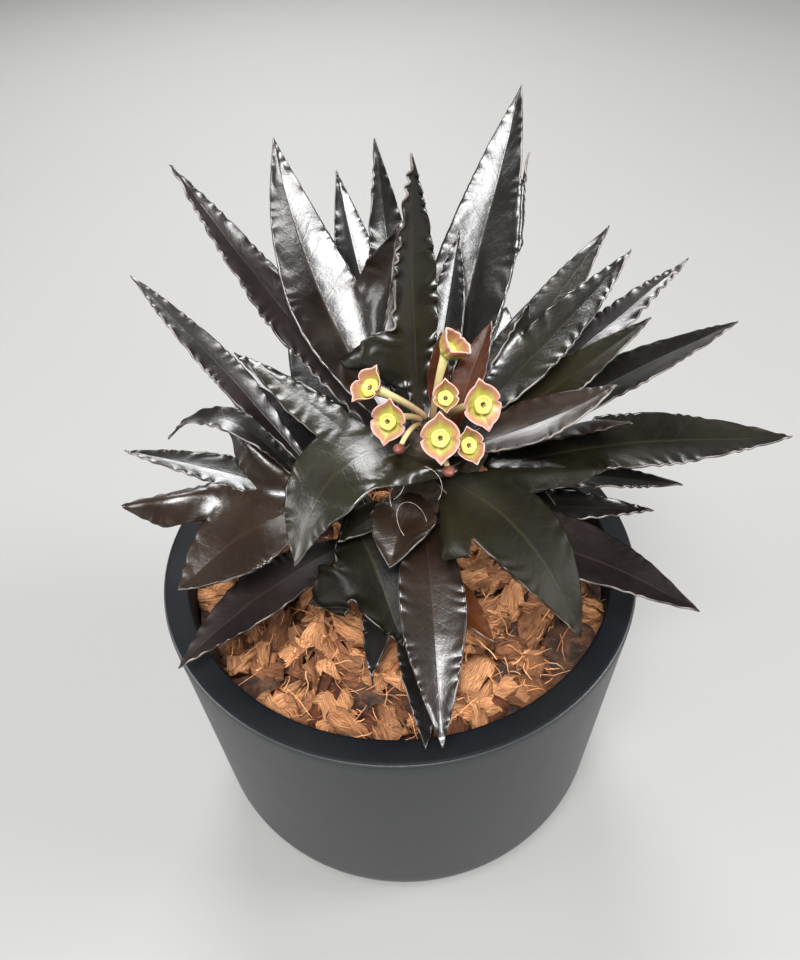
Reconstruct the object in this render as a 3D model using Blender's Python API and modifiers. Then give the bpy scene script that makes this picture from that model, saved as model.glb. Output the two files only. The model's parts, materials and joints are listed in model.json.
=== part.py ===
"""A potted euphorbia: dark lobed leaves on a short branched stem, a cluster of small
flowers, and a round pot filled with husk chips.

The origin is the centre of the pot's foot, +Z is up and -Y is the plant's front.
Lengths in the tables are millimetres. A place in the plant is written as
(turn, reach, rise): degrees about the pot's axis from +X, distance from that axis,
and height above the pot's rim.
"""

import math

import bmesh
import bpy
from mathutils import Matrix, Vector

MM = 0.001

# Pot
POT_HEIGHT = 91.0
POT_RADIUS = 65.0           # at the rim
POT_LOWER_RADIUS = 61.5     # where the wall meets the foot's round
POT_FOOT_ROUND = 20.0
RIM_WIDTH = 7.0
RIM_OUTER_ROUND = 1.8
RIM_INNER_ROUND = 0.8
WALL = 5.0
FLOOR = 5.0
DRAIN_RADIUS = 5.0
DRAIN_COUNT = 4
DRAIN_REACH = 24.0
POT_STEPS = 56

# Husk bed
BED_DEPTH = 13.0            # from the rim down to the bed's surface
GAP = 0.3                   # between pieces that touch
STEM_DEPTH = 28.0           # how deep the stem goes into the bed

# Leaves
LEAF_THICKNESS = 0.9
BLADE_ROWS = 8
LOBE_ROWS = 3
PETIOLE_WIDTH = 3.0
BLADE_SHAPE = (0.0, 0.42, 0.78, 0.97, 1.0, 0.88, 0.66, 0.37, 0.06)

# Stem: each branch runs from foot to head, both (turn, reach, rise)
BRANCHES = {
    "trunk": dict(foot=(0, 0, -(BED_DEPTH + STEM_DEPTH)), head=(0, 2, 6), radii=(8.0, 7.5)),
    "main": dict(foot=(0, 1, -4), head=(0, 9, 43), radii=(7.5, 5.5)),
    "left": dict(foot=(184, 2, -2), head=(184, 20, 34), radii=(6.0, 4.8)),
    "right": dict(foot=(24, 2, -2), head=(24, 24, 31), radii=(6.0, 4.8)),
}


def leaf(name, on, tip, width, bow=6, sway=0, roll=0, fold=10, lobes=()):
    """on is (branch, share of its height, turn); bow and sway lift and swing the midrib."""
    return dict(name=name, on=on, tip=tip, width=width, bow=bow, sway=sway,
                roll=roll, fold=fold, lobes=lobes)


def lobe(side, row, tip, bulge=3, bow=0):
    """side is -1 for the leaf's left and 1 for its right, seen from its foot."""
    return dict(side=side, row=row, tip=tip, bulge=bulge, bow=bow)


LEAVES = (
    # main head, upper
    leaf("leaf_young_back", ("main", 0.98, 72), (50, 19.5, 61), 5.5, bow=0, fold=14),
    leaf("leaf_young_right", ("main", 0.97, 16), (34, 30, 62), 8, bow=1, fold=14),
    leaf("leaf_red", ("main", 0.88, 341), (5, 55, 50), 15, bow=-2, sway=2, fold=12),
    leaf("leaf_twisted", ("main", 0.95, 112), (73, 21, 102), 12, bow=-10, sway=3, roll=15,
         fold=14, lobes=(lobe(-1, 1, (126, 22, 52), bulge=1, bow=3),)),
    leaf("leaf_twisted_back", ("main", 0.78, 107), (92, 54, 93), 14, bow=-20, sway=2, roll=20,
         fold=14),
    leaf("leaf_spear", ("main", 0.88, 85), (67, 49, 72), 10, bow=-2, fold=16),
    leaf("leaf_tall_left", ("main", 0.86, 158), (116, 63, 93), 19, bow=-10, sway=-6.6, fold=10,
         lobes=(lobe(1, 2, (81, 26, 84), bulge=0, bow=-3),)),
    leaf("leaf_olive_left", ("main", 0.96, 216), (-129, 37, 27), 21, bow=15, sway=8, fold=4,
         lobes=(lobe(1, 1, (146, 46, 48), bulge=2, bow=1),
                lobe(-1, 1, (-36, 18, 38), bulge=1, bow=3))),
    leaf("leaf_front_right", ("main", 0.8, 290), (-46, 59, 14), 20, bow=14, sway=-5, fold=4,
         lobes=(lobe(-1, 1, (-8, 53, 34), bulge=1, bow=2),
                lobe(1, 1, (-72, 33, 30), bulge=1, bow=3))),
    leaf("leaf_tall_back", ("main", 0.78, 68), (62, 79, 99), 20.5, bow=-8, sway=-2.5, roll=-12, fold=8,
         lobes=(lobe(1, 4, (58, 70, 86), bulge=1),)),
    # main head, middle
    leaf("leaf_back_spade", ("main", 0.66, 115), (101, 68, 80), 15, bow=-6, fold=10,
         lobes=(lobe(1, 3, (94, 50, 70), bulge=1),)),
    leaf("leaf_back_right_a", ("main", 0.84, 44), (39.5, 77, 69.5), 13, bow=-4, fold=10),
    leaf("leaf_back_right_b", ("main", 0.88, 22), (30, 72, 69), 14, bow=-3, fold=10,
         lobes=(lobe(-1, 2, (38, 45, 60), bulge=2, bow=1),)),
    leaf("leaf_right_upper", ("main", 0.76, 0), (20, 71, 56), 13, bow=0, fold=10),
    leaf("leaf_left_rippled", ("main", 0.78, 165), (135, 77, 88), 13, bow=-8, sway=4, fold=10),
    leaf("leaf_front_short", ("main", 0.66, 256), (-94, 29, 25), 15, bow=5, fold=8),
    leaf("leaf_inner_front", ("main", 0.54, 228), (-127, 24, 24), 9, bow=3, fold=12,
         lobes=(lobe(-1, 2, (-104, 21, 25), bulge=1),)),
    # main head, lower
    leaf("leaf_right_low", ("main", 0.48, 318), (-27, 79, 13), 19, bow=8.5, fold=10,
         lobes=(lobe(-1, 1, (-12, 38, 29), bulge=0, bow=2),)),
    leaf("leaf_front", ("main", 0.6, 278), (-83, 65, 7), 15, bow=9, fold=10),
    leaf("leaf_front_under", ("trunk", 0.98, 292), (-86, 63, 3), 12, bow=0, fold=10),
    # left head
    leaf("leaf_left_brown", ("main", 0.68, 180), (146, 50, 48), 10, bow=2, fold=10),
    leaf("leaf_left_narrow", ("left", 0.94, 140), (147, 82, 63), 9, bow=3, fold=12),
    leaf("leaf_left_arched", ("left", 0.97, 190), (166, 62, 30), 8, bow=26, fold=12),
    leaf("leaf_left", ("left", 0.78, 215), (-157, 59, 13), 25, bow=8, fold=6,
         lobes=(lobe(1, 0, (164, 44, 40), bulge=1),
                lobe(1, 3, (-177, 70, 24), bulge=3, bow=2))),
    leaf("leaf_left_under", ("left", 0.6, 170), (168, 75, 26), 11, bow=4, fold=10),
    leaf("leaf_left_low", ("left", 0.4, 240), (-143, 67, 5), 15, bow=8, fold=8),
    leaf("leaf_crinkled", ("left", 0.66, 290), (-90, 37, 6), 18, bow=5, fold=8,
         lobes=(lobe(1, 3, (-130, 34, 10), bulge=2),)),
    leaf("leaf_under_crinkled", ("trunk", 0.9, 235), (-100, 44, 2), 9, bow=4, fold=10),
    # right head
    leaf("leaf_right_long", ("right", 0.86, 345), (3, 103, 30), 21, bow=7, sway=2, fold=8,
         lobes=(lobe(-1, 1, (-4, 57, 46), bulge=0, bow=2),)),
    leaf("leaf_right_rippled", ("right", 0.96, 60), (28, 91, 62), 12, bow=1, fold=10),
    leaf("leaf_right_black", ("right", 0.96, 15), (18, 97, 50), 14, bow=3, fold=10),
    leaf("leaf_right_grey", ("right", 0.5, 335), (-5, 67, 17), 11, bow=2, fold=10),
    leaf("leaf_right_grey_back", ("right", 0.74, 350), (1, 76, 19), 10, bow=4, fold=10),
    leaf("leaf_back_low_a", ("right", 0.9, 90), (62, 78, 34), 15, bow=6, fold=8),
    leaf("leaf_back_low_b", ("right", 0.6, 120), (88, 74, 36), 14, bow=6, fold=8),
    leaf("leaf_back_low_c", ("left", 0.74, 80), (112, 74, 40), 15, bow=6, fold=8),
    leaf("leaf_back_low_d", ("left", 0.5, 120), (138, 72, 30), 14, bow=6, fold=8),
    leaf("leaf_back_low_e", ("right", 0.86, 38), (38, 80, 24), 14, bow=6, fold=8),
    leaf("leaf_at_bed", ("trunk", 0.86, 305), (-53, 39, -3), 9, bow=2, fold=14),
    leaf("leaf_shoot", ("left", 0.2, 225), (-142, 28, -5), 5, bow=1, fold=14),
)


def flower(name, tip, face, radius, bow=2, bracts=True):
    """A cyathium at tip on a stalk; face is the way it looks; bow is the stalk's curve."""
    return dict(name=name, tip=tip, face=face, radius=radius, bow=bow, bracts=bracts)


FLOWERS = (
    flower("flower_right", (-12, 21, 53), (0.3, -0.8, 0.5), 4.2),
    flower("flower_top", (28, 15, 60), (0.5, -0.3, 0.8), 3.2, bow=3),
    flower("flower_left_upper", (-178, 4.5, 55.5), (-0.5, -0.4, 0.8), 3.2),
    flower("flower_left", (-100, 5.5, 50), (-0.3, -0.8, 0.5), 3.8),
    flower("bud_left", (-84, 12, 47), (-0.2, -0.8, 0.5), 1.4, bow=4, bracts=False),
    flower("flower_front", (-52, 17, 51), (0.0, -0.8, 0.6), 4.0),
    flower("bud_right", (-52, 20, 43), (0.1, -0.8, 0.4), 1.4, bow=3, bracts=False),
    flower("flower_small", (-32, 20, 46), (0.3, -0.7, 0.6), 3.2),
    flower("flower_back", (-20, 13, 55), (0.0, -0.6, 0.8), 3.0),
)
STALK_RADIUS = 0.6
FLOWER_RING = 3.0           # the stalks' feet stand on this radius on top of the main head
FLOWER_TURN = 40            # where the first foot stands, in degrees, so that no two stalks cross
BRACT_THICKNESS = 0.6

# Large chips on the bed: (turn, reach, length, width, height, spin, tilt)
CHIPS = (
    (252, 47, 15, 9, 6, 20, 12), (275, 46, 13, 8, 6, 75, -14), (297, 45, 14, 9, 7, 130, 10),
    (228, 45, 12, 8, 6, 55, 16), (322, 44, 13, 9, 6, 10, -12), (285, 27, 12, 8, 6, 35, 14),
    (60, 46, 13, 8, 6, 25, 10), (140, 46, 14, 9, 6, 80, -12),
)
CHIP_ROUND = 1.2
CHIP_RISE = 1.5             # a chip's centre above the bed's surface
BED_BUMP = 2.0


def place(turn, reach, rise):
    """A point from degrees about the pot's axis, reach and rise above the rim."""
    a = math.radians(turn)
    return Vector((reach * math.cos(a), reach * math.sin(a), POT_HEIGHT + rise)) * MM


def material(name, colour, roughness, metallic=0.0):
    made = bpy.data.materials.new(name)
    made.use_nodes = True
    shader = made.node_tree.nodes["Principled BSDF"]
    shader.inputs["Base Color"].default_value = (*colour, 1.0)
    shader.inputs["Roughness"].default_value = roughness
    shader.inputs["Metallic"].default_value = metallic
    return made


def collection(name, hidden=False):
    made = bpy.data.collections.new(name)
    made.hide_render = hidden
    bpy.context.scene.collection.children.link(made)
    return made


def add(name, mesh, group, finish=None):
    made = bpy.data.objects.new(name, mesh)
    group.objects.link(made)
    if finish:
        mesh.materials.append(finish)
    return made


def cutter(name, mesh):
    made = add(name, mesh, CUTTERS)
    made.hide_render = True
    made.display_type = "WIRE"
    return made


def boolean(target, other, operation):
    modifier = target.modifiers.new(operation.lower(), "BOOLEAN")
    modifier.operation = operation
    modifier.object = other
    modifier.solver = "EXACT"


def turned(name, profile, group, finish, steps=POT_STEPS):
    """A profile of (radius, height) in millimetres, top to bottom outside, turned about Z."""
    mesh = bpy.data.meshes.new(name)
    points = [(r * MM, 0.0, z * MM) for r, z in profile]
    mesh.from_pydata(points, [(i, i + 1) for i in range(len(points) - 1)], [])
    made = add(name, mesh, group, finish)
    screw = made.modifiers.new("turn", "SCREW")
    screw.steps = screw.render_steps = steps
    screw.use_merge_vertices = True
    screw.merge_threshold = 0.0001
    return made


def arc(centre, radius, start, end, steps):
    """Points on an arc in the profile's plane, angles in degrees."""
    turns = [math.radians(start + (end - start) * i / steps) for i in range(steps + 1)]
    return [(centre[0] + radius * math.cos(t), centre[1] + radius * math.sin(t)) for t in turns]


def inner_radius(height):
    """The pot's inner wall at a height above its foot."""
    top, low = POT_RADIUS - RIM_WIDTH, POT_LOWER_RADIUS - WALL
    share = (height - POT_FOOT_ROUND) / (POT_HEIGHT - POT_FOOT_ROUND)
    return low + (top - low) * min(1.0, max(0.0, share))


def build_pot():
    inside_round = POT_FOOT_ROUND - WALL
    outer = arc((POT_RADIUS - RIM_OUTER_ROUND, POT_HEIGHT - RIM_OUTER_ROUND),
                RIM_OUTER_ROUND, 90, 0, 3)
    outer += arc((POT_LOWER_RADIUS - POT_FOOT_ROUND, POT_FOOT_ROUND), POT_FOOT_ROUND, 0, -90, 7)
    floor = [(0.0, 0.0), (0.0, FLOOR)]
    floor += arc((inner_radius(POT_FOOT_ROUND) - inside_round, FLOOR + inside_round),
                 inside_round, -90, 0, 5)
    rim = arc((POT_RADIUS - RIM_WIDTH + RIM_INNER_ROUND, POT_HEIGHT - RIM_INNER_ROUND),
              RIM_INNER_ROUND, 180, 90, 2)
    profile = outer + floor + rim
    pot = turned("pot", profile + profile[:1], BODY, material("pot", (0.10, 0.107, 0.113), 0.5))
    for i in range(DRAIN_COUNT):
        bm = bmesh.new()
        bmesh.ops.create_cone(bm, cap_ends=True, segments=20, radius1=DRAIN_RADIUS * MM,
                              radius2=DRAIN_RADIUS * MM, depth=4 * FLOOR * MM)
        mesh = bpy.data.meshes.new(f"drain_{i}")
        bm.to_mesh(mesh)
        hole = cutter(f"drain_{i}", mesh)
        a = math.tau * i / DRAIN_COUNT
        hole.location = Vector((math.cos(a), math.sin(a), 0.0)) * DRAIN_REACH * MM
        boolean(pot, hole, "DIFFERENCE")


def branch_point(branch, share):
    """(point on the branch's axis, its radius there), in metres."""
    b = BRANCHES[branch]
    foot, head = place(*b["foot"]), place(*b["head"])
    return foot.lerp(head, share), (b["radii"][0] + (b["radii"][1] - b["radii"][0]) * share) * MM


def branch_axis(branch):
    return (branch_point(branch, 1.0)[0] - branch_point(branch, 0.0)[0]).normalized()


def tube(name, points, radii, sides=10):
    """A tapered round branch as a mesh, its caps welded."""
    curve = bpy.data.curves.new(name, "CURVE")
    curve.dimensions = "3D"
    curve.bevel_depth = 1.0
    curve.bevel_resolution = max(0, sides // 2 - 2)
    curve.use_fill_caps = True
    spline = curve.splines.new("POLY")
    spline.points.add(len(points) - 1)
    for knot, point, radius in zip(spline.points, points, radii):
        knot.co = (*point, 1.0)
        knot.radius = radius
    guide = bpy.data.objects.new(name + "_curve", curve)
    bpy.context.scene.collection.objects.link(guide)
    bpy.context.view_layer.update()
    graph = bpy.context.evaluated_depsgraph_get()
    mesh = bpy.data.meshes.new_from_object(guide.evaluated_get(graph))
    bpy.data.objects.remove(guide)
    bm = bmesh.new()
    bm.from_mesh(mesh)
    bmesh.ops.remove_doubles(bm, verts=bm.verts, dist=0.00001)
    bmesh.ops.recalc_face_normals(bm, faces=bm.faces)
    bm.to_mesh(mesh)
    return mesh


def build_stem():
    finish = material("stem", (0.16, 0.10, 0.06), 0.7)
    stem = None
    for name, b in BRANCHES.items():
        shares = (0.0, 0.35, 0.7, 0.93, 1.0)
        points = [branch_point(name, s)[0] for s in shares]
        radii = [branch_point(name, s)[1] for s in shares]
        radii[-1] *= 0.8
        mesh = tube("stem_" + name, points, radii)
        if stem is None:
            stem = add("stem", mesh, BODY, finish)
        else:
            boolean(stem, cutter("stem_" + name, mesh), "UNION")
    return stem


def leaf_frame(plan):
    """The midrib's three control points and the leaf's base side direction."""
    branch, share, turn = plan["on"]
    centre, radius = branch_point(branch, share)
    a = math.radians(turn)
    axis = branch_axis(branch)
    out = Vector((math.cos(a), math.sin(a), 0.0))
    out = (out - axis * out.dot(axis)).normalized()
    foot = centre + out * (radius + (GAP + LEAF_THICKNESS / 2) * MM)
    tip = place(*plan["tip"])
    chord = tip - foot
    side = chord.cross(Vector((0, 0, 1)))
    if side.length < 0.25 * chord.length:
        side = out.cross(Vector((0, 0, 1))) * chord.length
    side.normalize()
    lift = side.cross(chord).normalized()
    knee = foot.lerp(tip, 0.5) + lift * plan["bow"] * MM + side * plan["sway"] * MM
    return foot, knee, tip, side


def leaf_point(plan, frame, u, across):
    """A point of the blade: u runs from foot to tip, across is -1, 0 or 1."""
    foot, knee, tip, side = frame
    mid = foot * (1 - u) ** 2 + knee * 2 * u * (1 - u) + tip * u * u
    along = ((knee - foot) * (1 - u) + (tip - knee) * u).normalized()
    side = (side - along * side.dot(along)).normalized()
    side = Matrix.Rotation(math.radians(plan["roll"]) * u, 3, along) @ side
    up = side.cross(along)
    step = u * BLADE_ROWS
    low = min(BLADE_ROWS - 1, int(step))
    share = BLADE_SHAPE[low] + (BLADE_SHAPE[low + 1] - BLADE_SHAPE[low]) * (step - low)
    half = max(PETIOLE_WIDTH * (1 - u) ** 2, plan["width"] * share) / 2 * MM
    fold = math.radians(plan["fold"])
    return mid + (side * across * math.cos(fold) + up * abs(across) * math.sin(fold)) * half


def strand(start, end, lift, t):
    return start.lerp(end, t) + lift * 4 * t * (1 - t)


def grow_lobe(bm, margin, plan):
    """Pulls two neighbouring margin edges out to a pointed side lobe."""
    first = margin[plan["row"]:plan["row"] + 3]
    starts = [v.co.copy() for v in first]
    tip = place(*plan["tip"])
    spread = (starts[2] - starts[0]).normalized() * plan["bulge"] * MM
    normal = (tip - starts[1]).cross(starts[2] - starts[0]).normalized()
    if normal.z < 0:
        normal.negate()
    lifts = [-spread, normal * plan["bow"] * MM, spread]
    current = first
    for k in range(1, LOBE_ROWS + 1):
        edges = [bm.edges.get((current[i], current[i + 1])) for i in range(2)]
        made = bmesh.ops.extrude_edge_only(bm, edges=edges)
        bm.verts.index_update()
        fresh = [g for g in made["geom"] if isinstance(g, bmesh.types.BMVert)]
        current = [min(fresh, key=lambda v, c=c: (v.co - c.co).length) for c in current]
        for v, start, lift in zip(current, starts, lifts):
            v.co = strand(start, tip, lift, k / LOBE_ROWS)
    bmesh.ops.pointmerge(bm, verts=current, merge_co=tip)


def build_leaf(plan, finish):
    frame = leaf_frame(plan)
    bm = bmesh.new()
    made = bmesh.ops.create_grid(bm, x_segments=2, y_segments=BLADE_ROWS, size=1.0)
    grid = sorted(made["verts"], key=lambda v: (round(v.co.y, 4), v.co.x))
    rows = [grid[i:i + 3] for i in range(0, len(grid), 3)]
    for i, row in enumerate(rows):
        for v, across in zip(row, (-1, 0, 1)):
            v.co = leaf_point(plan, frame, i / BLADE_ROWS, across)
    margins = {-1: [row[0] for row in rows], 1: [row[2] for row in rows]}
    bmesh.ops.pointmerge(bm, verts=rows[-1], merge_co=frame[2])
    for side_lobe in plan["lobes"]:
        grow_lobe(bm, margins[side_lobe["side"]], side_lobe)
    bmesh.ops.recalc_face_normals(bm, faces=bm.faces)
    mesh = bpy.data.meshes.new(plan["name"])
    bm.to_mesh(mesh)
    blade = add(plan["name"], mesh, BODY, finish)
    solid = blade.modifiers.new("thickness", "SOLIDIFY")
    solid.thickness = LEAF_THICKNESS * MM
    solid.offset = 0.0
    return blade


def build_bed():
    """The husk bed: it fills the pot's inside, keeps clear of the stem and holds the chips."""
    surface = POT_HEIGHT - BED_DEPTH
    inside_round = POT_FOOT_ROUND - WALL
    low = FLOOR + GAP
    corner = (inner_radius(POT_FOOT_ROUND) - inside_round, FLOOR + inside_round)
    edge = inner_radius(surface) - GAP
    top = [(edge * i / 12, surface) for i in range(12)]
    wall = arc(corner, inside_round - GAP, 0, -90, 5)
    profile = top + [(edge, surface)] + wall + [(0.0, low)]
    finish = material("husk", (0.42, 0.19, 0.09), 0.9)
    bed = turned("husk_bed", profile, BODY, finish)
    bumpy = bed.vertex_groups.new(name="bumpy")
    bumpy.add(range(len(top)), 1.0, "REPLACE")
    noise = bpy.data.textures.new("husk_bumps", "CLOUDS")
    noise.noise_scale = 9 * MM
    bumps = bed.modifiers.new("bumps", "DISPLACE")
    bumps.texture = noise
    bumps.texture_coords = "GLOBAL"
    bumps.direction = "Z"
    bumps.vertex_group = "bumpy"
    bumps.strength = 2 * BED_BUMP * MM
    foot, head = place(*BRANCHES["trunk"]["foot"]), place(*BRANCHES["trunk"]["head"])
    lower = foot + Vector((0, 0, -GAP * MM))
    radii = [(r + GAP) * MM for r in BRANCHES["trunk"]["radii"]]
    boolean(bed, cutter("stem_hole", tube("stem_hole", [lower, head], radii)), "DIFFERENCE")
    for i, plan in enumerate(CHIPS):
        chip = add(f"husk_chip_{i + 1:02d}", chip_mesh(plan, 0.0), BODY, finish)
        boolean(bed, cutter(chip.name + "_pocket", chip_mesh(plan, GAP)), "DIFFERENCE")


def chip_mesh(plan, grow):
    """One husk chip with rounded edges, larger by grow all round."""
    turn, reach, length, width, height, spin, tilt = plan
    bm = bmesh.new()
    bmesh.ops.create_cube(bm, size=1.0)
    size = Vector((length, width, height)) + Vector((2, 2, 2)) * grow
    bmesh.ops.scale(bm, vec=size * MM, verts=bm.verts)
    for i, v in enumerate(bm.verts):
        v.co.x *= (1.0, 0.8, 0.92, 0.72)[i % 4]
        v.co.y *= (0.85, 1.0, 0.75)[i % 3]
    bmesh.ops.bevel(bm, geom=bm.edges[:], offset=(CHIP_ROUND + grow / 2) * MM, segments=1,
                    profile=0.5, affect="EDGES", material=-1)
    turned_to = Matrix.Rotation(math.radians(spin), 4, "Z") @ \
        Matrix.Rotation(math.radians(tilt), 4, "Y")
    centre = Matrix.Translation(place(turn, reach, CHIP_RISE - BED_DEPTH))
    bmesh.ops.transform(bm, matrix=centre @ turned_to, verts=bm.verts)
    mesh = bpy.data.meshes.new("husk_chip")
    bm.to_mesh(mesh)
    return mesh


def facing(name, bm, end, face):
    """A cutter made from a shape whose +Z is turned to face, with its origin at end."""
    look = face.to_track_quat("Z", "Y").to_matrix().to_4x4()
    bmesh.ops.transform(bm, matrix=Matrix.Translation(end) @ look, verts=bm.verts)
    bmesh.ops.recalc_face_normals(bm, faces=bm.faces)
    mesh = bpy.data.meshes.new(name)
    bm.to_mesh(mesh)
    return cutter(name, mesh)


def bracts_shape(radius):
    """A shallow open saucer with a point at each side."""
    bm = bmesh.new()
    bmesh.ops.create_circle(bm, cap_ends=True, segments=12, radius=0.4 * radius)
    rim = bmesh.ops.extrude_edge_only(bm, edges=bm.edges[:])
    rim = [g for g in rim["geom"] if isinstance(g, bmesh.types.BMVert)]
    for v in rim:
        v.co *= 2.5
        upright = abs(v.co.y) / radius
        v.co.z = (0.2 + 0.3 * upright) * radius
        v.co.y *= 1.0 + 0.25 * upright ** 6
    return bm


def build_flower(number, plan, finish):
    """A stalk from the top of the main head, with a disc of glands and two pointed bracts."""
    axis = branch_axis("main")
    a = math.tau * number / len(FLOWERS) + math.radians(FLOWER_TURN)
    ring = Vector((math.cos(a), math.sin(a), 0.0))
    ring = (ring - axis * ring.dot(axis)).normalized() * FLOWER_RING * MM
    seat = branch_point("main", 1.0)[0] + ring + axis * GAP * MM
    foot = seat + axis * STALK_RADIUS * 2 * MM
    end = place(*plan["tip"])
    face = Vector(plan["face"]).normalized()
    radius = plan["radius"] * MM
    knee = foot.lerp(end, 0.5) + Vector((0, 0, plan["bow"] * MM)) - face * MM
    points = [seat] + [foot * (1 - t) ** 2 + knee * 2 * t * (1 - t) + end * t * t
                       for t in (0, 0.25, 0.5, 0.75, 1.0)]
    stalk = tube(plan["name"], points, [STALK_RADIUS * MM] * 6, 8)
    made = add(plan["name"], stalk, BODY, finish)
    bm = bmesh.new()
    if plan["bracts"]:
        bmesh.ops.create_cone(bm, cap_ends=True, segments=12, radius1=0.3 * radius,
                              radius2=0.45 * radius, depth=0.6 * radius)
        boolean(made, facing(plan["name"] + "_glands", bm, end, face), "UNION")
        bracts = facing(plan["name"] + "_bracts", bracts_shape(radius), end, face)
        solid = bracts.modifiers.new("thickness", "SOLIDIFY")
        solid.thickness = BRACT_THICKNESS * MM
        solid.offset = 0.0
        boolean(made, bracts, "UNION")
    else:
        bmesh.ops.create_uvsphere(bm, u_segments=10, v_segments=6, radius=radius)
        boolean(made, facing(plan["name"] + "_head", bm, end, face), "UNION")


for old in list(bpy.data.objects):
    bpy.data.objects.remove(old)
BODY = collection("potted_euphorbia")
CUTTERS = collection("cutters", hidden=True)

build_pot()
build_stem()
LEAF_FINISH = material("leaf", (0.035, 0.028, 0.02), 0.3)
for entry in LEAVES:
    build_leaf(entry, LEAF_FINISH)
FLOWER_FINISH = material("flower", (0.70, 0.58, 0.16), 0.5)
for count, entry in enumerate(FLOWERS):
    build_flower(count, entry, FLOWER_FINISH)
build_bed()
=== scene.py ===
import json
import math
import random

import bmesh
import bpy
from mathutils import Euler, Matrix, Vector, noise

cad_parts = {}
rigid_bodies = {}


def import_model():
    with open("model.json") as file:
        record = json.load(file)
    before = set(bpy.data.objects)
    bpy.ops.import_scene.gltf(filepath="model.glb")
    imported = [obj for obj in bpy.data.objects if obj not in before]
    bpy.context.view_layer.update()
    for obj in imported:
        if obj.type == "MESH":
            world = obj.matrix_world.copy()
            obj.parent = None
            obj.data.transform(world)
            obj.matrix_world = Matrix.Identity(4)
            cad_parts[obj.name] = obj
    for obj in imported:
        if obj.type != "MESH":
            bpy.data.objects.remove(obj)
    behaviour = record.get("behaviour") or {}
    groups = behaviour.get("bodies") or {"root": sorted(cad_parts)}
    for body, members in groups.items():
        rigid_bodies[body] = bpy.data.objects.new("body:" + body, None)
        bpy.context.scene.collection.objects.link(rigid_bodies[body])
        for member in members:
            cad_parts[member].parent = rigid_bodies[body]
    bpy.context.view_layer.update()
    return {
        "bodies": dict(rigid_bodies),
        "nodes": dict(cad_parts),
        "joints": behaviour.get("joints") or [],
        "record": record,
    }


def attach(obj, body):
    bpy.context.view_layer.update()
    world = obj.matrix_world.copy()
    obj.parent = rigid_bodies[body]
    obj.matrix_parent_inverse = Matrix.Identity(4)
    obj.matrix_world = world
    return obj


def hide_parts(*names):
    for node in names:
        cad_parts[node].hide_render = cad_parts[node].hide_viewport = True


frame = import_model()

mm = 0.001       # metres
print("stage: the packed frame is loaded")

# the sizes that the plant is built from, as in the part itself, in millimetres
plant = {
    "potHeight": 91.0, "potRadius": 65.0, "lowerRadius": 61.5, "footRound": 20.0,
    "rimWidth": 7.0, "wall": 5.0, "floor": 5.0, "bedDepth": 13.0, "gap": 0.3,
    "leafThickness": 0.9, "stemDepth": 28.0,
}


def newMaterial(name):
    made = bpy.data.materials.new(name)
    made.use_nodes = True
    tree = made.node_tree
    return made, tree, tree.nodes["Principled BSDF"]


def newGroup(name, inputs, outputs):
    group = bpy.data.node_groups.new(name, "ShaderNodeTree")
    kinds = {"colour": "NodeSocketColor", "number": "NodeSocketFloat"}
    for label, kind, value in inputs:
        socket = group.interface.new_socket(label, in_out="INPUT", socket_type=kinds[kind])
        socket.default_value = value
    for label, kind in outputs:
        group.interface.new_socket(label, in_out="OUTPUT", socket_type=kinds[kind])
    start, end = group.nodes.new("NodeGroupInput"), group.nodes.new("NodeGroupOutput")
    return group, start, end


def placeGroup(tree, group, **values):
    made = tree.nodes.new("ShaderNodeGroup")
    made.node_tree = group
    for key, value in values.items():
        made.inputs[key].default_value = value
    return made


def mixColour(tree, factor, first, second, blend="MIX"):
    made = tree.nodes.new("ShaderNodeMix")
    made.data_type = "RGBA"
    made.blend_type = blend
    for socket, value in ((made.inputs[0], factor), (made.inputs[6], first), (made.inputs[7], second)):
        if isinstance(value, bpy.types.NodeSocket):
            tree.links.new(value, socket)
        else:
            socket.default_value = value
    return made.outputs[2]


def sums(tree, operation, first, second=0.0, third=0.0):
    made = tree.nodes.new("ShaderNodeMath")
    made.operation = operation
    for socket, value in zip(made.inputs, (first, second, third)):
        if isinstance(value, bpy.types.NodeSocket):
            tree.links.new(value, socket)
        else:
            socket.default_value = value
    return made.outputs[0]


def remap(tree, value, low, high, toLow=0.0, toHigh=1.0):
    made = tree.nodes.new("ShaderNodeMapRange")
    made.interpolation_type = "SMOOTHSTEP"
    for i, number in enumerate((low, high, toLow, toHigh)):
        made.inputs[i + 1].default_value = number
    tree.links.new(value, made.inputs[0])
    return made.outputs[0]


def speckle(tree, spot, scale, detail=3.0, roughness=0.55, stretch=None):
    vector = spot
    if stretch:
        mapping = tree.nodes.new("ShaderNodeMapping")
        mapping.inputs["Scale"].default_value = stretch
        tree.links.new(spot, mapping.inputs["Vector"])
        vector = mapping.outputs[0]
    made = tree.nodes.new("ShaderNodeTexNoise")
    made.inputs["Scale"].default_value = scale
    made.inputs["Detail"].default_value = detail
    made.inputs["Roughness"].default_value = roughness
    tree.links.new(vector, made.inputs["Vector"])
    return made.outputs[0]


def attribute(tree, name):
    made = tree.nodes.new("ShaderNodeAttribute")
    made.attribute_name = name
    return made.outputs["Fac"]


def objectPlace(tree):
    return tree.nodes.new("ShaderNodeTexCoord").outputs["Object"]


def bump(tree, height, strength, distance):
    made = tree.nodes.new("ShaderNodeBump")
    made.inputs["Strength"].default_value = strength
    made.inputs["Distance"].default_value = distance
    tree.links.new(height, made.inputs["Height"])
    return made.outputs[0]


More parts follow.
